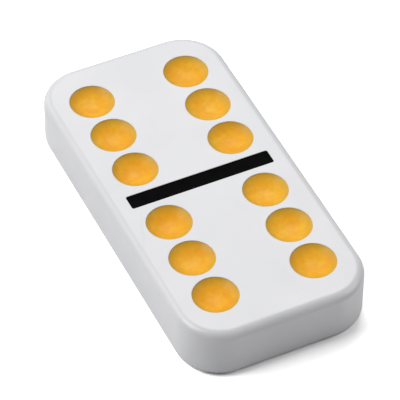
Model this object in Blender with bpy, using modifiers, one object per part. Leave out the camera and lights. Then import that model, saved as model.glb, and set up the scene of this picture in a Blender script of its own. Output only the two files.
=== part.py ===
"""Double-six domino tile: a moulded blank with enamel set in its dimples and its groove.

The tile lies on its back. The origin is the centre of its underside, +Z is up through the marked
face, +Y runs along the tile and +X across it. Lengths are metres.
"""

import math

import bmesh
import bpy

MM = 0.001

# Blank
TILE_LENGTH = 50.0 * MM
TILE_WIDTH = 24.8 * MM
TILE_THICKNESS = 7.5 * MM
CORNER_RADIUS = 5.8 * MM  # the four upright corners
EDGE_RADIUS = 1.2 * MM  # the rims of the face and of the underside
CORNER_SEGMENTS = 10
EDGE_SEGMENTS = 4

# Pips: each half holds two columns of three on a square pitch
PIP_PITCH = 6.6 * MM
HALF_CENTRE = 11.6 * MM  # from the middle of the tile to the middle of a half
PIP_RADIUS = 2.9 * MM
DIMPLE_WALL = 0.2 * MM  # the short upright wall under the rim of a dimple
DIMPLE_DEPTH = 1.3 * MM
ENAMEL_RIM_DROP = 0.05 * MM  # from the face down to the enamel at the rim
ENAMEL_DISH_DEPTH = 1.0 * MM  # from the face down to the enamel at the middle
PIP_SEGMENTS = 24
BOWL_STEPS = 4

# Dividing bar
DIVIDER_LENGTH = 19.5 * MM
DIVIDER_WIDTH = 2.2 * MM
DIVIDER_DEPTH = 0.6 * MM
DIVIDER_CORNER = 0.25 * MM
DIVIDER_DROP = 0.12 * MM  # from the face down to the top of the enamel
DIVIDER_CORNER_SEGMENTS = 3

# The small space left between the enamel and the recess that holds it
GAP = 0.03 * MM
CUTTER_TOP = 1.0 * MM  # how far a cutter stands above the face
WELD_DISTANCE = 0.001 * MM
SHARP_ANGLE = math.radians(30.0)  # edges that turn by more than this look sharp

COLUMNS = {"left": -1.0, "right": 1.0}
ROWS = {"inner": -1.0, "middle": 0.0, "outer": 1.0}
HALVES = {"upper": 1.0, "lower": -1.0}


def clear_scene():
    """Remove the objects that the file opens with."""
    for item in list(bpy.data.objects):
        bpy.data.objects.remove(item, do_unlink=True)


def make_collection(name):
    """Return a new collection linked to the scene."""
    collection = bpy.data.collections.new(name)
    bpy.context.scene.collection.children.link(collection)
    return collection


def make_material(name, colour, roughness):
    """Return a Principled BSDF material with a plain colour."""
    material = bpy.data.materials.new(name)
    material.use_nodes = True
    shader = material.node_tree.nodes["Principled BSDF"]
    shader.inputs["Base Color"].default_value = (*colour, 1.0)
    shader.inputs["Roughness"].default_value = roughness
    shader.inputs["Metallic"].default_value = 0.0
    material.diffuse_color = (*colour, 1.0)
    return material


def link_object(name, mesh, collection, location):
    """Return a new object that shows a mesh at a location."""
    item = bpy.data.objects.new(name, mesh)
    item.location = location
    collection.objects.link(item)
    return item


def mark_cutter(item):
    """Keep an object out of renders and show it as wire only."""
    item.hide_render = True
    item.display_type = "WIRE"


def rounded_block(name, size, corner_radius, segments):
    """Return a box mesh of full size (x, y, z) about its centre, with its upright edges rounded."""
    shape = bmesh.new()
    bmesh.ops.create_cube(shape, size=1.0)
    bmesh.ops.scale(shape, vec=size, verts=shape.verts)
    upright = [
        edge
        for edge in shape.edges
        if abs(edge.verts[0].co.z - edge.verts[1].co.z) > size[2] / 2.0
    ]
    bmesh.ops.bevel(
        shape,
        geom=upright,
        offset=corner_radius,
        segments=segments,
        profile=0.5,
        affect="EDGES",
    )
    mesh = bpy.data.meshes.new(name)
    shape.to_mesh(mesh)
    shape.free()
    return mesh


def bowl_arc(radius, rim_height, floor_height):
    """Return points (x, z) down a spherical bowl, from its rim at x = radius to its floor at x = 0."""
    depth = rim_height - floor_height
    sphere = (radius**2 + depth**2) / (2.0 * depth)
    rim_angle = math.asin(radius / sphere)
    points = []
    for step in range(BOWL_STEPS + 1):
        angle = rim_angle * (1.0 - step / BOWL_STEPS)
        points.append((sphere * math.sin(angle), floor_height + sphere * (1.0 - math.cos(angle))))
    return points


def settled_mesh(item):
    """Return the mesh that an object's modifiers make, smooth but for its sharp edges."""
    evaluated = item.evaluated_get(bpy.context.evaluated_depsgraph_get())
    mesh = bpy.data.meshes.new_from_object(evaluated)
    mesh.name = item.data.name
    mesh.shade_smooth()
    mesh.set_sharp_from_angle(angle=SHARP_ANGLE)
    return mesh


def turned_mesh(name, points):
    """Return the closed round solid that points (x, z) make when they turn about Z."""
    profile = bpy.data.meshes.new(name)
    vertices = [(x, 0.0, z) for x, z in points]
    edges = [(index, index + 1) for index in range(len(points) - 1)]
    profile.from_pydata(vertices, edges, [])

    pattern = link_object(name, profile, bpy.context.scene.collection, (0.0, 0.0, 0.0))
    screw = pattern.modifiers.new("turn", "SCREW")
    screw.axis = "Z"
    screw.steps = PIP_SEGMENTS
    screw.render_steps = PIP_SEGMENTS
    screw.use_merge_vertices = True
    screw.merge_threshold = WELD_DISTANCE

    solid = settled_mesh(pattern)
    bpy.data.objects.remove(pattern, do_unlink=True)
    return solid


def dimple_profile():
    """Return the outline of a dimple's cutter, from the top of its axis down to its floor."""
    bowl = bowl_arc(PIP_RADIUS, -DIMPLE_WALL, -DIMPLE_DEPTH)
    return [(0.0, CUTTER_TOP), (PIP_RADIUS, CUTTER_TOP)] + bowl


def enamel_profile():
    """Return the outline of a pip's enamel: down its dish's rim, its wall and its rounded back."""
    radius = PIP_RADIUS - GAP
    dish = bowl_arc(radius, -ENAMEL_RIM_DROP, -ENAMEL_DISH_DEPTH)
    back = bowl_arc(radius, -DIMPLE_WALL + GAP, -DIMPLE_DEPTH + GAP)
    return dish[::-1] + back


def pip_places():
    """Yield each pip's name and its (x, y) place."""
    for half, half_sign in HALVES.items():
        for column, column_sign in COLUMNS.items():
            for row, row_step in ROWS.items():
                x = column_sign * PIP_PITCH
                y = half_sign * (HALF_CENTRE + row_step * PIP_PITCH)
                yield f"pip_{half}_{column}_{row}", x, y


def make_dimple_cutters(cutters):
    """Place one turned cutter at each pip."""
    mesh = turned_mesh("dimple_cutter", dimple_profile())
    for name, x, y in pip_places():
        cutter = link_object(f"cut_{name}", mesh, cutters, (x, y, TILE_THICKNESS))
        mark_cutter(cutter)


def make_divider_cutter(cutters):
    """Place the block that sinks the groove between the halves."""
    height = DIVIDER_DEPTH + CUTTER_TOP
    size = (DIVIDER_LENGTH, DIVIDER_WIDTH, height)
    mesh = rounded_block("divider_cutter", size, DIVIDER_CORNER, DIVIDER_CORNER_SEGMENTS)
    centre_z = TILE_THICKNESS + CUTTER_TOP - height / 2.0
    cutter = link_object("cut_divider", mesh, cutters, (0.0, 0.0, centre_z))
    mark_cutter(cutter)


def make_tile_body(tile, cutters):
    """Make the blank: a rounded block with the dimples and the groove sunk in its face."""
    size = (TILE_WIDTH, TILE_LENGTH, TILE_THICKNESS)
    mesh = rounded_block("tile_body", size, CORNER_RADIUS, CORNER_SEGMENTS)
    body = link_object("tile_body", mesh, tile, (0.0, 0.0, TILE_THICKNESS / 2.0))

    rims = body.modifiers.new("round_rims", "BEVEL")
    rims.limit_method = "ANGLE"
    rims.angle_limit = math.radians(60.0)
    rims.width = EDGE_RADIUS
    rims.segments = EDGE_SEGMENTS

    recesses = body.modifiers.new("recesses", "BOOLEAN")
    recesses.operation = "DIFFERENCE"
    recesses.operand_type = "COLLECTION"
    recesses.collection = cutters
    recesses.solver = "EXACT"

    body.data = settled_mesh(body)
    body.modifiers.clear()
    body.data.materials.append(make_material("white_moulding", (0.84, 0.85, 0.88), 0.22))

    shading = body.modifiers.new("even_shading", "WEIGHTED_NORMAL")
    shading.keep_sharp = True


def make_pips(tile):
    """Make the enamel of every pip."""
    mesh = turned_mesh("pip_enamel", enamel_profile())
    mesh.materials.append(make_material("yellow_enamel", (0.82, 0.43, 0.04), 0.2))
    for name, x, y in pip_places():
        link_object(name, mesh, tile, (x, y, TILE_THICKNESS))


def make_divider_fill(tile):
    """Make the bar of enamel that lies in the groove."""
    size = (
        DIVIDER_LENGTH - 2.0 * GAP,
        DIVIDER_WIDTH - 2.0 * GAP,
        DIVIDER_DEPTH - DIVIDER_DROP - GAP,
    )
    mesh = rounded_block("divider_fill", size, DIVIDER_CORNER - GAP, DIVIDER_CORNER_SEGMENTS)
    mesh.materials.append(make_material("black_enamel", (0.01, 0.01, 0.012), 0.25))
    centre_z = TILE_THICKNESS - DIVIDER_DROP - size[2] / 2.0
    link_object("divider_fill", mesh, tile, (0.0, 0.0, centre_z))


def main():
    """Model the tile."""
    clear_scene()
    tile = make_collection("domino_tile")
    cutters = make_collection("cutters")
    make_dimple_cutters(cutters)
    make_divider_cutter(cutters)
    make_tile_body(tile, cutters)
    make_pips(tile)
    make_divider_fill(tile)


main()
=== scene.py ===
"""Looks of the double-six domino tile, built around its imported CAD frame.

Every CAD node is stood for by a finer piece in the same place, within a tenth of a millimetre of its
size: the moulded blank with softened lips round its recesses, the enamel of the twelve pips and the
enamel of the dividing bar. Lengths are metres, or millimetres inside the materials.
"""

import math
import random

import bmesh
import bpy
from mathutils import Matrix, Vector, noise


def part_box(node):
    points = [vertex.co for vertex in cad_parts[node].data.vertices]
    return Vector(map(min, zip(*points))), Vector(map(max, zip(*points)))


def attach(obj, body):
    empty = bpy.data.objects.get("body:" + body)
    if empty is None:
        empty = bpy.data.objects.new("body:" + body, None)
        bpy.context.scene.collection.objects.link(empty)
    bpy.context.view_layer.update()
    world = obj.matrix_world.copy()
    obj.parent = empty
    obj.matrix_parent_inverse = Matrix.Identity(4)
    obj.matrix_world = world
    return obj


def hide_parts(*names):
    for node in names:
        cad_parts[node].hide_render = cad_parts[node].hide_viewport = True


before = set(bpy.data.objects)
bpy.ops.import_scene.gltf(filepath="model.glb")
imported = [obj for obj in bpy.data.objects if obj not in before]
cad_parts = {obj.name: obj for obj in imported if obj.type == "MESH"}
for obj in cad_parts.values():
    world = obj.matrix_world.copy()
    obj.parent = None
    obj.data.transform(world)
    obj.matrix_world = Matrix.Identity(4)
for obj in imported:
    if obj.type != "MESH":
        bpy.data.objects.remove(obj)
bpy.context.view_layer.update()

MM = 0.001

# Blank, as in the CAD model
CORNER_RADIUS = 5.8 * MM  # the four upright corners
EDGE_RADIUS = 1.2 * MM  # the rims of the face and of the underside
DIMPLE_WALL = 0.2 * MM
DIMPLE_DEPTH = 1.3 * MM
DIVIDER_DEPTH = 0.6 * MM
DIVIDER_CORNER = 0.25 * MM
GAP = 0.03 * MM  # between the enamel and its recess

# Finish that the CAD model leaves out
LIP_RADIUS = 0.06 * MM  # the softened mouth of each recess
BITE = 0.01 * MM  # how far the enamel reaches into the wall that it clings to
MENISCUS_WIDTH = 0.16 * MM  # how near its wall the enamel begins to creep up

# Enamel of a pip
DISH_DEPTH = 1.0 * MM  # from the face down to its middle
DISH_SPREAD = 0.04  # share by which that depth differs from pip to pip
RIM_DROP = 0.12 * MM  # from the face down to its edge, before it creeps up
PIP_LEAN = 0.02  # the most that a dish slopes along X or Y
PIP_CREEP = 0.02 * MM  # how far it creeps up its wall
PIP_UNEVENNESS = 0.02 * MM  # how far it lies too high or too low in patches
PIP_SWELL_LENGTH = 2.2 * MM  # size of the patches in its middle
PIP_EDGE_LENGTH = 1.1 * MM  # size of the patches at its edge
SEED_RANGE = 50.0  # size of the area of noise in which each pip's patches are picked

# Enamel of the dividing bar
DIVIDER_DROP = 0.12 * MM  # from the face down to its top, before it creeps up and sags
DIVIDER_CREEP = 0.07 * MM  # how far it creeps up its walls
DIVIDER_SAG = 0.02 * MM  # how far its middle line sags
DIVIDER_UNEVENNESS = 0.012 * MM  # how far it lies too high or too low in patches
DIVIDER_SWELL_LENGTH = 1.6 * MM  # size of the patches
DIVIDER_STRIP = 0.05 * MM  # half the width of the face that closes it along its middle

# Mesh fineness
CORNER_STEPS = 24
EDGE_STEPS = 10
LIP_STEPS = 4
BOWL_STEPS = 14
PIP_SEGMENTS = 72
DIVIDER_STEPS = 14
DIVIDER_CROWDING = 1.6  # above 1, the steps crowd towards the wall
SMALLEST_ARC = 0.02 * MM  # the least corner radius of a loop that is moved in
JUST_INSIDE = 0.999  # leaves out the points that lie where a rim meets a flat
CUTTER_TOP = 1.0 * MM  # how far a cutter stands above the face
SHARP_ANGLE = math.radians(45.0)  # edges that turn by more than this look sharp
FACE_WEIGHT = 80  # how strongly the large faces set the blank's shading

# Camera and light
VIEW_AZIMUTH = math.radians(-26.0)
VIEW_ELEVATION = math.radians(46.4)
VIEW_ROLL = math.radians(0.8)
VIEW_DISTANCE = 0.404
VIEW_LENS = 290.0  # in millimetres, like the sensor
SENSOR_WIDTH = 36.0
CLIP_START = 0.01
CLIP_END = 20.0
SOFTBOX_SIZE = 0.45
SOFTBOX_DISTANCE = 0.8
SOFTBOXES = (
    # name, degrees to the left of the far side, degrees up, watts
    ("left", 96.0, 50.0, 3.95),
    ("back", 0.0, 50.0, 2.25),
    ("right", -90.0, 30.0, 1.95),
    ("back_left", 60.0, 30.0, 1.30),
)
ROOM_BRIGHTNESS = 1.0  # of the white that shows past the floor and in gloss

# Floor
FLOOR_RADIUS = 0.35
FLOOR_SEGMENTS = 96
FLOOR_EXPOSURE = 2.4  # how much brighter it looks than the light on it
# Painted shade on the floor in front of the near end, in the light that it throws back
CONTACT_REACH = 4.0 * MM  # how far in front of the tile the floor throws back less light
CONTACT_BOUNCE = 0.2  # the share of the light that it throws back right beside the near end
CONTACT_SHUT = 0.30  # at this openness towards the tile, or less, it throws back only that share
CONTACT_CLEAR = 0.57  # at this openness it throws back all of it
CONTACT_SAMPLES = 8  # rays that measure this openness
TOWARD_TILE = (0.0, 1.0, 1.0)  # up and along the tile, from the floor in front of its near end

# Linear colours
WHITE_COOL = (0.695, 0.700, 0.722)
WHITE_WARM = (0.718, 0.716, 0.732)
WHITE_SPECK = (0.63, 0.63, 0.65)
WHITE_WORN = (0.66, 0.655, 0.64)
ORANGE_DEEP = (0.87, 0.380, 0.015)
ORANGE_LIGHT = (0.92, 0.455, 0.024)
GOLD_DEEP = (0.89, 0.420, 0.020)
GOLD_LIGHT = (0.92, 0.500, 0.032)
YELLOW_MOTTLE = (0.78, 0.32, 0.012)
# ochre of the painted shade towards each pip's rim
YELLOW_RIM_SHADE = (0.60, 0.385, 0.045)
YELLOW_SPECK = (0.70, 0.36, 0.03)
YELLOW_PINHOLE = (0.45, 0.24, 0.02)
BLACK_COOL = (0.0010, 0.0010, 0.0013)
BLACK_WARM = (0.0022, 0.0020, 0.0020)
BLACK_DUST = (0.02, 0.02, 0.02)
PAPER_DULL = (0.925, 0.925, 0.925)
PAPER_BRIGHT = (0.945, 0.945, 0.945)

# Spans of the noise, which lies about 0.5, that make soft clouds, patches of gloss and fine specks
CLOUDS = (0.35, 0.65)
PATCHES = (0.35, 0.68)
SPECKS = (0.62, 0.80)

# Scratches are stretched cells of noise, measured in millimetres
FACE_SCRATCHES = (
    # degrees about Z, length, width
    (24.0, 11.0, 0.22),
    (96.0, 8.0, 0.20),
    (68.0, 14.0, 0.24),
)
FACE_SCRATCH_HEIGHT = 90.0  # far taller than the tile
SIDE_SCRATCH_TURN = (0.0, 4.0, 0.0)
SIDE_SCRATCH_CELL = (9.0, 9.0, 0.22)


# ---------------------------------------------------------------------------
# Meshes
# ---------------------------------------------------------------------------


def rounded_loop(half_x, half_y, radius, inset, z, steps):
    """Return points round a rectangle with round corners, moved in by inset, at height z."""
    arc = max(radius - inset, SMALLEST_ARC)
    centre_x = half_x - inset - arc
    centre_y = half_y - inset - arc
    points = []
    for quarter in range(4):
        side_x = 1.0 if quarter in (0, 3) else -1.0
        side_y = 1.0 if quarter in (0, 1) else -1.0
        for step in range(steps + 1):
            angle = math.pi / 2.0 * (quarter + step / steps)
            x = side_x * centre_x + arc * math.cos(angle)
            y = side_y * centre_y + arc * math.sin(angle)
            points.append(Vector((x, y, z)))
    return points


def circle_loop(centre, radius, z, segments):
    """Return points round a circle."""
    points = []
    for segment in range(segments):
        angle = 2.0 * math.pi * segment / segments
        x = centre.x + radius * math.cos(angle)
        y = centre.y + radius * math.sin(angle)
        points.append(Vector((x, y, z)))
    return points


def add_loft(shape, loops):
    """Add a closed solid to a bmesh: a skin through loops of equal count, and a cap at each end."""
    rings = [[shape.verts.new(point) for point in loop] for loop in loops]
    count = len(rings[0])
    for lower, upper in zip(rings, rings[1:]):
        for index in range(count):
            after = (index + 1) % count
            shape.faces.new((lower[index], lower[after], upper[after], upper[index]))
    shape.faces.new(rings[0][::-1])
    shape.faces.new(rings[-1])
    return rings


def mesh_object(name, shape):
    """Turn a bmesh into an object in the scene."""
    bmesh.ops.recalc_face_normals(shape, faces=shape.faces)
    mesh = bpy.data.meshes.new(name)
    shape.to_mesh(mesh)
    shape.free()
    item = bpy.data.objects.new(name, mesh)
    bpy.context.scene.collection.objects.link(item)
    return item


def arc_levels(radius, z_from, z_to, steps, opening):
    """Return (inset, z) pairs along a quarter round.

    opening True starts flat and ends upright, False starts upright and ends flat.
    """
    pairs = []
    for step in range(steps + 1):
        angle = math.pi / 2.0 * step / steps
        if opening:
            inset, rise = 1.0 - math.sin(angle), 1.0 - math.cos(angle)
        else:
            inset, rise = 1.0 - math.cos(angle), math.sin(angle)
        pairs.append((radius * inset, z_from + (z_to - z_from) * rise))
    return pairs


def bowl_levels(radius, rim_z, floor_z, steps):
    """Return (radius, z) pairs up a spherical bowl, from near its floor to its rim."""
    depth = rim_z - floor_z
    sphere = (radius**2 + depth**2) / (2.0 * depth)
    rim_angle = math.asin(radius / sphere)
    pairs = []
    for step in range(1, steps + 1):
        angle = rim_angle * step / steps
        pairs.append((sphere * math.sin(angle), floor_z + sphere * (1.0 - math.cos(angle))))
    return pairs


# ---------------------------------------------------------------------------
# Places, read from the frame
# ---------------------------------------------------------------------------

blank_low, blank_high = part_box("tile_body")
HALF_WIDTH = (blank_high.x - blank_low.x) / 2.0
HALF_LENGTH = (blank_high.y - blank_low.y) / 2.0
FACE_Z = blank_high.z
PIP_NODES = sorted(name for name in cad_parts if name.startswith("pip_"))


def pip_centre_and_radius(node):
    """Return the middle of a pip at the height of the face, and the radius of its enamel."""
    low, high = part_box(node)
    centre = Vector(((low.x + high.x) / 2.0, (low.y + high.y) / 2.0, FACE_Z))
    return centre, (high.x - low.x) / 2.0


def divider_half_size():
    """Return half the length and half the width of the groove."""
    low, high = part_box("divider_fill")
    return (high.x - low.x) / 2.0 + GAP, (high.y - low.y) / 2.0 + GAP


# ---------------------------------------------------------------------------
# Pieces
# ---------------------------------------------------------------------------


def lip_levels():
    """Return (flare, z) pairs up the softened mouth of a recess and on above the face."""
    flared = arc_levels(LIP_RADIUS, FACE_Z - LIP_RADIUS, FACE_Z, LIP_STEPS, opening=False)
    return flared + [(LIP_RADIUS, FACE_Z + CUTTER_TOP)]


def add_dimple_cutter(shape, centre, radius):
    """Add the solid that sinks one dimple: a bowl, a short wall and a flared mouth."""
    levels = bowl_levels(radius, FACE_Z - DIMPLE_WALL, FACE_Z - DIMPLE_DEPTH, BOWL_STEPS)
    levels += [(radius + flare, z) for flare, z in lip_levels()]
    add_loft(shape, [circle_loop(centre, reach, z, PIP_SEGMENTS) for reach, z in levels])


def add_divider_cutter(shape):
    """Add the solid that sinks the groove, with the same flared mouth."""
    half_x, half_y = divider_half_size()
    levels = [(0.0, FACE_Z - DIVIDER_DEPTH)]
    levels += [(-flare, z) for flare, z in lip_levels()]
    loops = [rounded_loop(half_x, half_y, DIVIDER_CORNER, inset, z, LIP_STEPS) for inset, z in levels]
    add_loft(shape, loops)


def outline_distance(x, y):
    """Return how far a point lies inside the blank's outline."""
    dx = abs(x) - (HALF_WIDTH - CORNER_RADIUS)
    dy = abs(y) - (HALF_LENGTH - CORNER_RADIUS)
    outside = math.hypot(max(dx, 0.0), max(dy, 0.0))
    return CORNER_RADIUS - outside - min(max(dx, dy), 0.0)


def rim_share(x, y, z):
    """Return how far into a rounded rim a point of the blank lies: 1 half way round it, 0 off it."""
    middle = FACE_Z / 2.0
    rise = max(abs(z - middle) - (middle - EDGE_RADIUS), 0.0) / EDGE_RADIUS
    turn = math.asin(min(rise, 1.0)) / (math.pi / 2.0)
    on_rim = outline_distance(x, y) < EDGE_RADIUS * JUST_INSIDE
    return math.sin(math.pi * turn) if on_rim else 0.0


def mark_rims(mesh):
    """Store on each point of the blank how far into a rounded rim it lies."""
    attribute = mesh.attributes.new("rim", "FLOAT", "POINT")
    values = [rim_share(*vertex.co) for vertex in mesh.vertices]
    attribute.data.foreach_set("value", values)


def make_blank():
    """Make the moulded block with its twelve dimples and its groove."""
    levels = arc_levels(EDGE_RADIUS, 0.0, EDGE_RADIUS, EDGE_STEPS, opening=True)
    levels += arc_levels(EDGE_RADIUS, FACE_Z - EDGE_RADIUS, FACE_Z, EDGE_STEPS, opening=False)
    loops = [
        rounded_loop(HALF_WIDTH, HALF_LENGTH, CORNER_RADIUS, inset, z, CORNER_STEPS)
        for inset, z in levels
    ]
    shape = bmesh.new()
    add_loft(shape, loops)
    block = mesh_object("moulded_blank", shape)

    cutter_shape = bmesh.new()
    for node in PIP_NODES:
        centre, radius = pip_centre_and_radius(node)
        add_dimple_cutter(cutter_shape, centre, radius + GAP)
    add_divider_cutter(cutter_shape)
    cutter = mesh_object("recess_cutter", cutter_shape)

    cut = block.modifiers.new("recesses", "BOOLEAN")
    cut.operation = "DIFFERENCE"
    cut.solver = "EXACT"
    cut.object = cutter
    mesh = bpy.data.meshes.new_from_object(block.evaluated_get(bpy.context.evaluated_depsgraph_get()))
    block.modifiers.clear()
    block.data = mesh
    bpy.data.objects.remove(cutter, do_unlink=True)

    mesh.shade_smooth()
    mark_rims(mesh)
    even = block.modifiers.new("even_shading", "WEIGHTED_NORMAL")
    even.weight = FACE_WEIGHT
    return block


def shade_with_edges(piece):
    """Shade a piece smooth, but for its sharp edges."""
    piece.data.shade_smooth()
    piece.data.set_sharp_from_angle(angle=SHARP_ANGLE)


def make_pip(node, number):
    """Make one pip's enamel: a dish whose edge creeps up its wall, never quite the same twice."""
    centre, radius = pip_centre_and_radius(node)
    radius += GAP + BITE
    chance = random.Random(number)
    depth = DISH_DEPTH * chance.uniform(1.0 - DISH_SPREAD, 1.0 + DISH_SPREAD)
    lean = Vector((chance.uniform(-1.0, 1.0), chance.uniform(-1.0, 1.0), 0.0)) * PIP_LEAN
    seed = Vector((chance.uniform(0.0, SEED_RANGE), chance.uniform(0.0, SEED_RANGE), 0.0))

    back = bowl_levels(radius, FACE_Z - DIMPLE_WALL + GAP, FACE_Z - DIMPLE_DEPTH + GAP, BOWL_STEPS // 2)
    dish = bowl_levels(radius, FACE_Z - RIM_DROP, FACE_Z - depth, BOWL_STEPS * 2)[::-1]
    loops = [circle_loop(centre, reach, z, PIP_SEGMENTS) for reach, z in back + dish]
    shares = [1.0] * len(back) + [reach / radius for reach, z in dish]

    for loop, share in zip(loops[len(back):], shares[len(back):]):
        creep = math.exp(-radius * (1.0 - share) / MENISCUS_WIDTH)
        for point in loop:
            offset = point - centre
            swell = noise.noise(seed + offset / PIP_SWELL_LENGTH) * PIP_UNEVENNESS
            edge = noise.noise(seed + offset / PIP_EDGE_LENGTH) * PIP_UNEVENNESS
            point.z += (1.0 - share**2) * lean.dot(offset)
            point.z += swell * (1.0 - creep) + (PIP_CREEP + edge) * creep

    shape = bmesh.new()
    # each ring's share of the way out, which the enamel's colour also uses for painted shade towards the
    # rim
    layer = shape.verts.layers.float.new("rim")
    for ring, share in zip(add_loft(shape, loops), shares):
        for vert in ring:
            vert[layer] = share
    pip = mesh_object(node.replace("pip_", "enamel_"), shape)
    shade_with_edges(pip)
    return pip


def make_divider():
    """Make the bar of enamel in the groove, a little hollow between its walls."""
    half_x, half_y = divider_half_size()
    half_x += BITE
    half_y += BITE
    corner = DIVIDER_CORNER + BITE
    top = FACE_Z - DIVIDER_DROP
    loops = [rounded_loop(half_x, half_y, corner, 0.0, FACE_Z - DIVIDER_DEPTH + GAP, LIP_STEPS * 2)]
    for step in range(DIVIDER_STEPS + 1):
        inset = (half_y - DIVIDER_STRIP) * (step / DIVIDER_STEPS) ** DIVIDER_CROWDING
        creep = DIVIDER_CREEP * math.exp(-inset / MENISCUS_WIDTH)
        sag = DIVIDER_SAG * inset / half_y
        loop = rounded_loop(half_x, half_y, corner, inset, top + creep - sag, LIP_STEPS * 2)
        for point in loop:
            point.z += noise.noise(point / DIVIDER_SWELL_LENGTH) * DIVIDER_UNEVENNESS
        loops.append(loop)
    shape = bmesh.new()
    add_loft(shape, loops)
    bar = mesh_object("divider_enamel", shape)
    shade_with_edges(bar)
    return bar


# ---------------------------------------------------------------------------
# Materials
# ---------------------------------------------------------------------------


class Graph:
    """A material's node tree, with short calls to add nodes and join them."""

    def __init__(self, name):
        self.material = bpy.data.materials.new(name)
        self.material.use_nodes = True
        self.nodes = self.material.node_tree.nodes
        self.links = self.material.node_tree.links
        self.shader = self.nodes["Principled BSDF"]

    def feed(self, socket, value):
        """Set a socket to a value, or link it if the value is another node's output."""
        if isinstance(value, bpy.types.NodeSocket):
            self.links.new(value, socket)
        else:
            socket.default_value = value

    def surface(self, **values):
        """Feed the shader's inputs; an underscore stands for a space."""
        for key, value in values.items():
            self.feed(self.shader.inputs[key.replace("_", " ")], value)

    def millimetres(self):
        """Return the object's own coordinates in millimetres."""
        coordinates = self.nodes.new("ShaderNodeTexCoord")
        scale = self.nodes.new("ShaderNodeVectorMath")
        scale.operation = "SCALE"
        self.links.new(coordinates.outputs["Object"], scale.inputs[0])
        scale.inputs["Scale"].default_value = 1.0 / MM
        return scale.outputs[0]

    def laid(self, place, turn, cell):
        """Return coordinates along axes turned by Euler angles in degrees, counted in cells."""
        mapping = self.nodes.new("ShaderNodeMapping")
        mapping.vector_type = "TEXTURE"
        self.links.new(place, mapping.inputs["Vector"])
        mapping.inputs["Rotation"].default_value = [math.radians(angle) for angle in turn]
        mapping.inputs["Scale"].default_value = cell
        return mapping.outputs[0]

    def noise(self, place, scale, detail=2.0, rough=0.5, distortion=0.0):
        """Return a noise value about 0.5, with scale in cells per millimetre."""
        texture = self.nodes.new("ShaderNodeTexNoise")
        self.links.new(place, texture.inputs["Vector"])
        texture.inputs["Scale"].default_value = scale
        texture.inputs["Detail"].default_value = detail
        texture.inputs["Roughness"].default_value = rough
        texture.inputs["Distortion"].default_value = distortion
        return texture.outputs[0]

    def spots(self, place, scale):
        """Return the distance to the nearest of scattered points."""
        texture = self.nodes.new("ShaderNodeTexVoronoi")
        self.links.new(place, texture.inputs["Vector"])
        texture.inputs["Scale"].default_value = scale
        return texture.outputs["Distance"]

    def attribute(self, name):
        """Return a value stored on the mesh."""
        node = self.nodes.new("ShaderNodeAttribute")
        node.attribute_name = name
        return node.outputs["Fac"]

    def uprightness(self):
        """Return how far the surface faces straight up or straight down, from 0 to 1."""
        geometry = self.nodes.new("ShaderNodeNewGeometry")
        split = self.nodes.new("ShaderNodeSeparateXYZ")
        self.links.new(geometry.outputs["Normal"], split.inputs[0])
        return self.math("ABSOLUTE", split.outputs["Z"], 0.0)

    def openness(self, toward, reach):
        """Return how open the space is toward a direction, from 0 to 1, within a reach in metres."""
        direction = self.nodes.new("ShaderNodeCombineXYZ")
        for socket, value in zip(direction.inputs, toward.normalized()):
            socket.default_value = value
        node = self.nodes.new("ShaderNodeAmbientOcclusion")
        node.samples = CONTACT_SAMPLES
        node.inputs["Distance"].default_value = reach
        self.links.new(direction.outputs[0], node.inputs["Normal"])
        return node.outputs["AO"]

    def span(self, value, low, high, to_low=0.0, to_high=1.0):
        """Return a value clamped between two limits and moved to a new range."""
        node = self.nodes.new("ShaderNodeMapRange")
        node.interpolation_type = "SMOOTHSTEP"
        self.feed(node.inputs["Value"], value)
        node.inputs["From Min"].default_value = low
        node.inputs["From Max"].default_value = high
        self.feed(node.inputs["To Min"], to_low)
        self.feed(node.inputs["To Max"], to_high)
        return node.outputs["Result"]

    def math(self, operation, first, second):
        """Return a sum, product or other result of two values."""
        node = self.nodes.new("ShaderNodeMath")
        node.operation = operation
        self.feed(node.inputs[0], first)
        self.feed(node.inputs[1], second)
        return node.outputs[0]

    def mix(self, share, first, second):
        """Return a blend of two colours."""
        node = self.nodes.new("ShaderNodeMix")
        node.data_type = "RGBA"
        self.feed(node.inputs["Factor"], share)
        for socket, value in ((node.inputs[6], first), (node.inputs[7], second)):
            self.feed(socket, value if isinstance(value, bpy.types.NodeSocket) else (*value, 1.0))
        return node.outputs[2]

    def seen(self, shed, shown):
        """Return one value for light that is shed and another for what the camera sees."""
        path = self.nodes.new("ShaderNodeLightPath")
        return self.span(path.outputs["Is Camera Ray"], 0.0, 1.0, shed, shown)

    def tint(self, colour, toward, mask, share):
        """Return a colour that goes a share of the way to another where a mask is 1."""
        return self.mix(self.math("MULTIPLY", mask, share), colour, toward)

    def raised(self, value, mask, amount):
        """Return a value that is an amount higher where a mask is 1."""
        return self.math("ADD", value, self.math("MULTIPLY", mask, amount))

    def scaled(self, colour, factor):
        """Return a colour multiplied by a value."""
        node = self.nodes.new("ShaderNodeVectorMath")
        node.operation = "SCALE"
        self.links.new(colour, node.inputs[0])
        self.feed(node.inputs["Scale"], factor)
        return node.outputs[0]

    def bump(self, height, depth, under=None):
        """Return a normal bent by a height from 0 to 1 that is worth depth metres."""
        node = self.nodes.new("ShaderNodeBump")
        node.inputs["Strength"].default_value = 1.0
        node.inputs["Distance"].default_value = depth
        self.feed(node.inputs["Height"], height)
        if under is not None:
            self.links.new(under, node.inputs["Normal"])
        return node.outputs["Normal"]


def scratches(graph, place, turn, cell):
    """Return a mask of a few fine straight scratches, long and thin as the noise's cells are."""
    lines = graph.noise(graph.laid(place, turn, cell), scale=1.0, detail=1.0, rough=0.4)
    return graph.span(lines, low=0.72, high=0.80)


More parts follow.
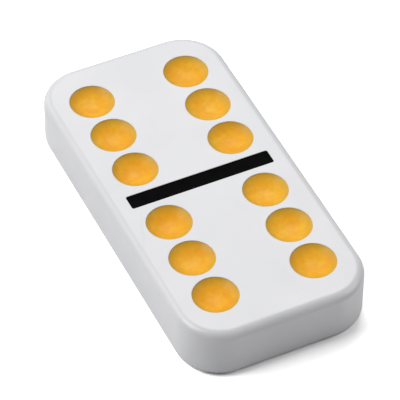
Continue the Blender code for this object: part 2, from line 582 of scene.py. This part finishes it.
def rubbed(graph, place):
    """Return the scratches of a tile slid about on its face and knocked along its sides."""
    faces = 0.0
    for turn, length, width in FACE_SCRATCHES:
        lines = scratches(graph, place, (0.0, 0.0, turn), (length, width, FACE_SCRATCH_HEIGHT))
        faces = graph.math("MAXIMUM", faces, lines)
    sides = scratches(graph, place, SIDE_SCRATCH_TURN, SIDE_SCRATCH_CELL)
    level = graph.span(graph.uprightness(), low=0.75, high=0.95)
    on_faces = graph.math("MULTIPLY", faces, level)
    on_sides = graph.math("MULTIPLY", sides, graph.math("SUBTRACT", 1.0, level))
    return graph.math("MAXIMUM", on_faces, on_sides)


def white_moulding():
    """Cool white polished resin: faint clouds, fine filler specks, hairline scratches, scuffed rims."""
    graph = Graph("white_moulding")
    place = graph.millimetres()
    clouds = graph.span(graph.noise(place, scale=0.11, detail=3.0), *CLOUDS)
    specks = graph.span(graph.noise(place, scale=9.0, rough=0.7), *SPECKS)
    scuffs = graph.span(graph.noise(place, scale=1.6, detail=5.0, rough=0.7), low=0.50, high=0.66)
    worn = graph.math("MULTIPLY", graph.attribute("rim"), scuffs)
    hair = rubbed(graph, place)

    colour = graph.mix(clouds, WHITE_COOL, WHITE_WARM)
    colour = graph.tint(colour, WHITE_SPECK, specks, share=0.30)
    colour = graph.tint(colour, WHITE_WORN, worn, share=0.18)

    smears = graph.noise(place, scale=0.18)
    rough = graph.span(smears, *PATCHES, to_low=0.29, to_high=0.34)
    rough = graph.raised(rough, hair, amount=0.16)
    rough = graph.raised(rough, worn, amount=0.20)

    flow = graph.bump(graph.noise(place, scale=0.16, detail=1.0), depth=0.03 * MM)
    grain = graph.bump(graph.noise(place, scale=5.0, detail=3.0), depth=0.0012 * MM, under=flow)
    cuts = graph.bump(graph.math("SUBTRACT", 1.0, hair), depth=0.004 * MM, under=grain)
    graph.surface(Base_Color=colour, Roughness=rough, Normal=cuts, IOR=1.5)
    return graph.material


def yellow_enamel():
    """Yellow-orange enamel: cloudy and mottled, darkened to ochre towards the rim as painted shade, a
    few pinholes.
    """
    graph = Graph("yellow_enamel")
    place = graph.millimetres()
    golden = graph.span(graph.noise(place, scale=0.10, detail=1.0), low=0.38, high=0.62)
    swirl = graph.noise(place, scale=0.45, detail=3.0, rough=0.55, distortion=0.4)
    drift = graph.span(swirl, *CLOUDS)
    mottle = graph.span(graph.noise(place, scale=1.3, detail=3.0, rough=0.6), low=0.38, high=0.64)
    # painted shade: the enamel darkens towards its rim, where the bowl steepens
    painted_rim_shade = graph.span(graph.attribute("rim"), low=0.60, high=0.98)
    specks = graph.span(graph.noise(place, scale=11.0, rough=0.7), *SPECKS)
    pinholes = graph.span(graph.spots(place, scale=1.5), low=0.05, high=0.10, to_low=1.0, to_high=0.0)

    deep = graph.mix(golden, ORANGE_DEEP, GOLD_DEEP)
    light = graph.mix(golden, ORANGE_LIGHT, GOLD_LIGHT)
    colour = graph.mix(drift, deep, light)
    colour = graph.tint(colour, YELLOW_MOTTLE, mottle, share=0.35)
    colour = graph.tint(colour, YELLOW_RIM_SHADE, painted_rim_shade, share=0.62)
    colour = graph.tint(colour, YELLOW_SPECK, specks, share=0.30)
    colour = graph.tint(colour, YELLOW_PINHOLE, pinholes, share=0.50)

    smears = graph.noise(place, scale=0.8, detail=4.0, rough=0.6)
    rough = graph.span(smears, *PATCHES, to_low=0.29, to_high=0.38)
    ripple = graph.bump(graph.noise(place, scale=0.9), depth=0.012 * MM)
    grain = graph.bump(graph.noise(place, scale=7.0), depth=0.0015 * MM, under=ripple)
    pits = graph.bump(graph.math("SUBTRACT", 1.0, pinholes), depth=0.01 * MM, under=grain)
    graph.surface(Base_Color=colour, Roughness=rough, Normal=pits, Specular_IOR_Level=0.15)
    return graph.material


def black_enamel():
    """Near-black enamel with dust in it and a slightly uneven gloss."""
    graph = Graph("black_enamel")
    place = graph.millimetres()
    drift = graph.span(graph.noise(place, scale=0.5, detail=3.0), *CLOUDS)
    dust = graph.span(graph.noise(place, scale=12.0, rough=0.7), low=0.64, high=0.80)
    colour = graph.mix(drift, BLACK_COOL, BLACK_WARM)
    colour = graph.tint(colour, BLACK_DUST, dust, share=0.15)

    smears = graph.noise(place, scale=1.1, detail=4.0, rough=0.6)
    rough = graph.span(smears, *PATCHES, to_low=0.42, to_high=0.56)
    ripple = graph.bump(graph.noise(place, scale=1.2), depth=0.01 * MM)
    grain = graph.bump(graph.noise(place, scale=8.0), depth=0.0015 * MM, under=ripple)
    graph.surface(Base_Color=colour, Roughness=rough, Normal=grain, Specular_IOR_Level=0.01)
    return graph.material


def floor_surface():
    """A plain white sheet with the faintest tooth, shown overexposed as a product backdrop is.

    Right in front of the near end its colour is darkened, as painted shade, for the light that it throws
    back, so that the tile's foot stays dark; the camera sees it undarkened.
    """
    graph = Graph("floor_paper")
    place = graph.millimetres()
    tone = graph.noise(place, scale=0.02, detail=3.0)
    colour = graph.mix(tone, PAPER_DULL, PAPER_BRIGHT)
    tooth = graph.bump(graph.noise(place, scale=3.0, detail=3.0), depth=0.004 * MM)
    # painted shade: the floor's colour is darkened where the tile closes it off in front of the near end
    openness = graph.openness(Vector(TOWARD_TILE), CONTACT_REACH)
    shed = graph.span(openness, CONTACT_SHUT, CONTACT_CLEAR, to_low=CONTACT_BOUNCE, to_high=1.0)
    graph.surface(
        Base_Color=graph.scaled(colour, graph.seen(shed, FLOOR_EXPOSURE)),
        Roughness=0.9,
        Normal=tooth,
        Specular_IOR_Level=0.2,
    )
    return graph.material


# ---------------------------------------------------------------------------
# Stage
# ---------------------------------------------------------------------------


def make_floor():
    """Lay a pale floor under the tile."""
    shape = bmesh.new()
    bmesh.ops.create_circle(shape, cap_ends=True, segments=FLOOR_SEGMENTS, radius=FLOOR_RADIUS)
    floor = mesh_object("floor", shape)
    floor.data.materials.append(floor_surface())


def camera_axes():
    """Return the camera's level right and level forward directions."""
    right = Vector((math.cos(VIEW_AZIMUTH), math.sin(VIEW_AZIMUTH), 0.0))
    forward = Vector((-math.sin(VIEW_AZIMUTH), math.cos(VIEW_AZIMUTH), 0.0))
    return right, forward


def make_camera(target):
    """Place the camera at the viewing angle, aimed at the tile."""
    right, forward = camera_axes()
    away = -forward * math.cos(VIEW_ELEVATION) + Vector((0.0, 0.0, math.sin(VIEW_ELEVATION)))
    data = bpy.data.cameras.new("camera")
    data.lens = VIEW_LENS
    data.sensor_width = SENSOR_WIDTH
    data.clip_start = CLIP_START
    data.clip_end = CLIP_END
    camera = bpy.data.objects.new("camera", data)
    bpy.context.scene.collection.objects.link(camera)
    turn = away.to_track_quat("Z", "Y").to_matrix() @ Matrix.Rotation(VIEW_ROLL, 3, "Z")
    camera.matrix_world = Matrix.Translation(target + away * VIEW_DISTANCE) @ turn.to_4x4()
    bpy.context.scene.camera = camera


def add_softbox(name, turn, rise, power):
    """Hang a square soft light that faces the tile."""
    data = bpy.data.lights.new(name, "AREA")
    data.shape = "SQUARE"
    data.size = SOFTBOX_SIZE
    data.energy = power
    light = bpy.data.objects.new(name, data)
    bpy.context.scene.collection.objects.link(light)
    right, forward = camera_axes()
    level = forward * math.cos(math.radians(turn)) - right * math.sin(math.radians(turn))
    aim = level * math.cos(math.radians(rise)) + Vector((0.0, 0.0, math.sin(math.radians(rise))))
    stand = Matrix.Translation(aim * SOFTBOX_DISTANCE)
    light.matrix_world = stand @ aim.to_track_quat("Z", "Y").to_matrix().to_4x4()


def make_room():
    """Surround the tile with a pale room, which shows past the floor and in gloss but lights nothing."""
    world = bpy.data.worlds.new("room")
    bpy.context.scene.world = world
    world.use_nodes = True
    background = world.node_tree.nodes["Background"]
    background.inputs["Color"].default_value = (1.0, 1.0, 1.0, 1.0)
    background.inputs["Strength"].default_value = ROOM_BRIGHTNESS
    world.cycles_visibility.diffuse = False


def finish_piece(piece, node, material):
    """Give a piece its material and let it stand for its CAD node."""
    piece.data.materials.clear()
    piece.data.materials.append(material)
    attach(piece, "root")
    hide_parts(node)


def main():
    """Build the pieces, the stage, the camera and the lights."""
    finish_piece(make_blank(), "tile_body", white_moulding())
    yellow = yellow_enamel()
    for number, node in enumerate(PIP_NODES):
        finish_piece(make_pip(node, number), node, yellow)
    finish_piece(make_divider(), "divider_fill", black_enamel())

    make_floor()
    make_camera(Vector((0.0, 0.0, FACE_Z / 2.0)))
    for name, turn, rise, power in SOFTBOXES:
        add_softbox(name, turn, rise, power)
    make_room()
    bpy.context.scene.view_settings.view_transform = "Standard"


main()
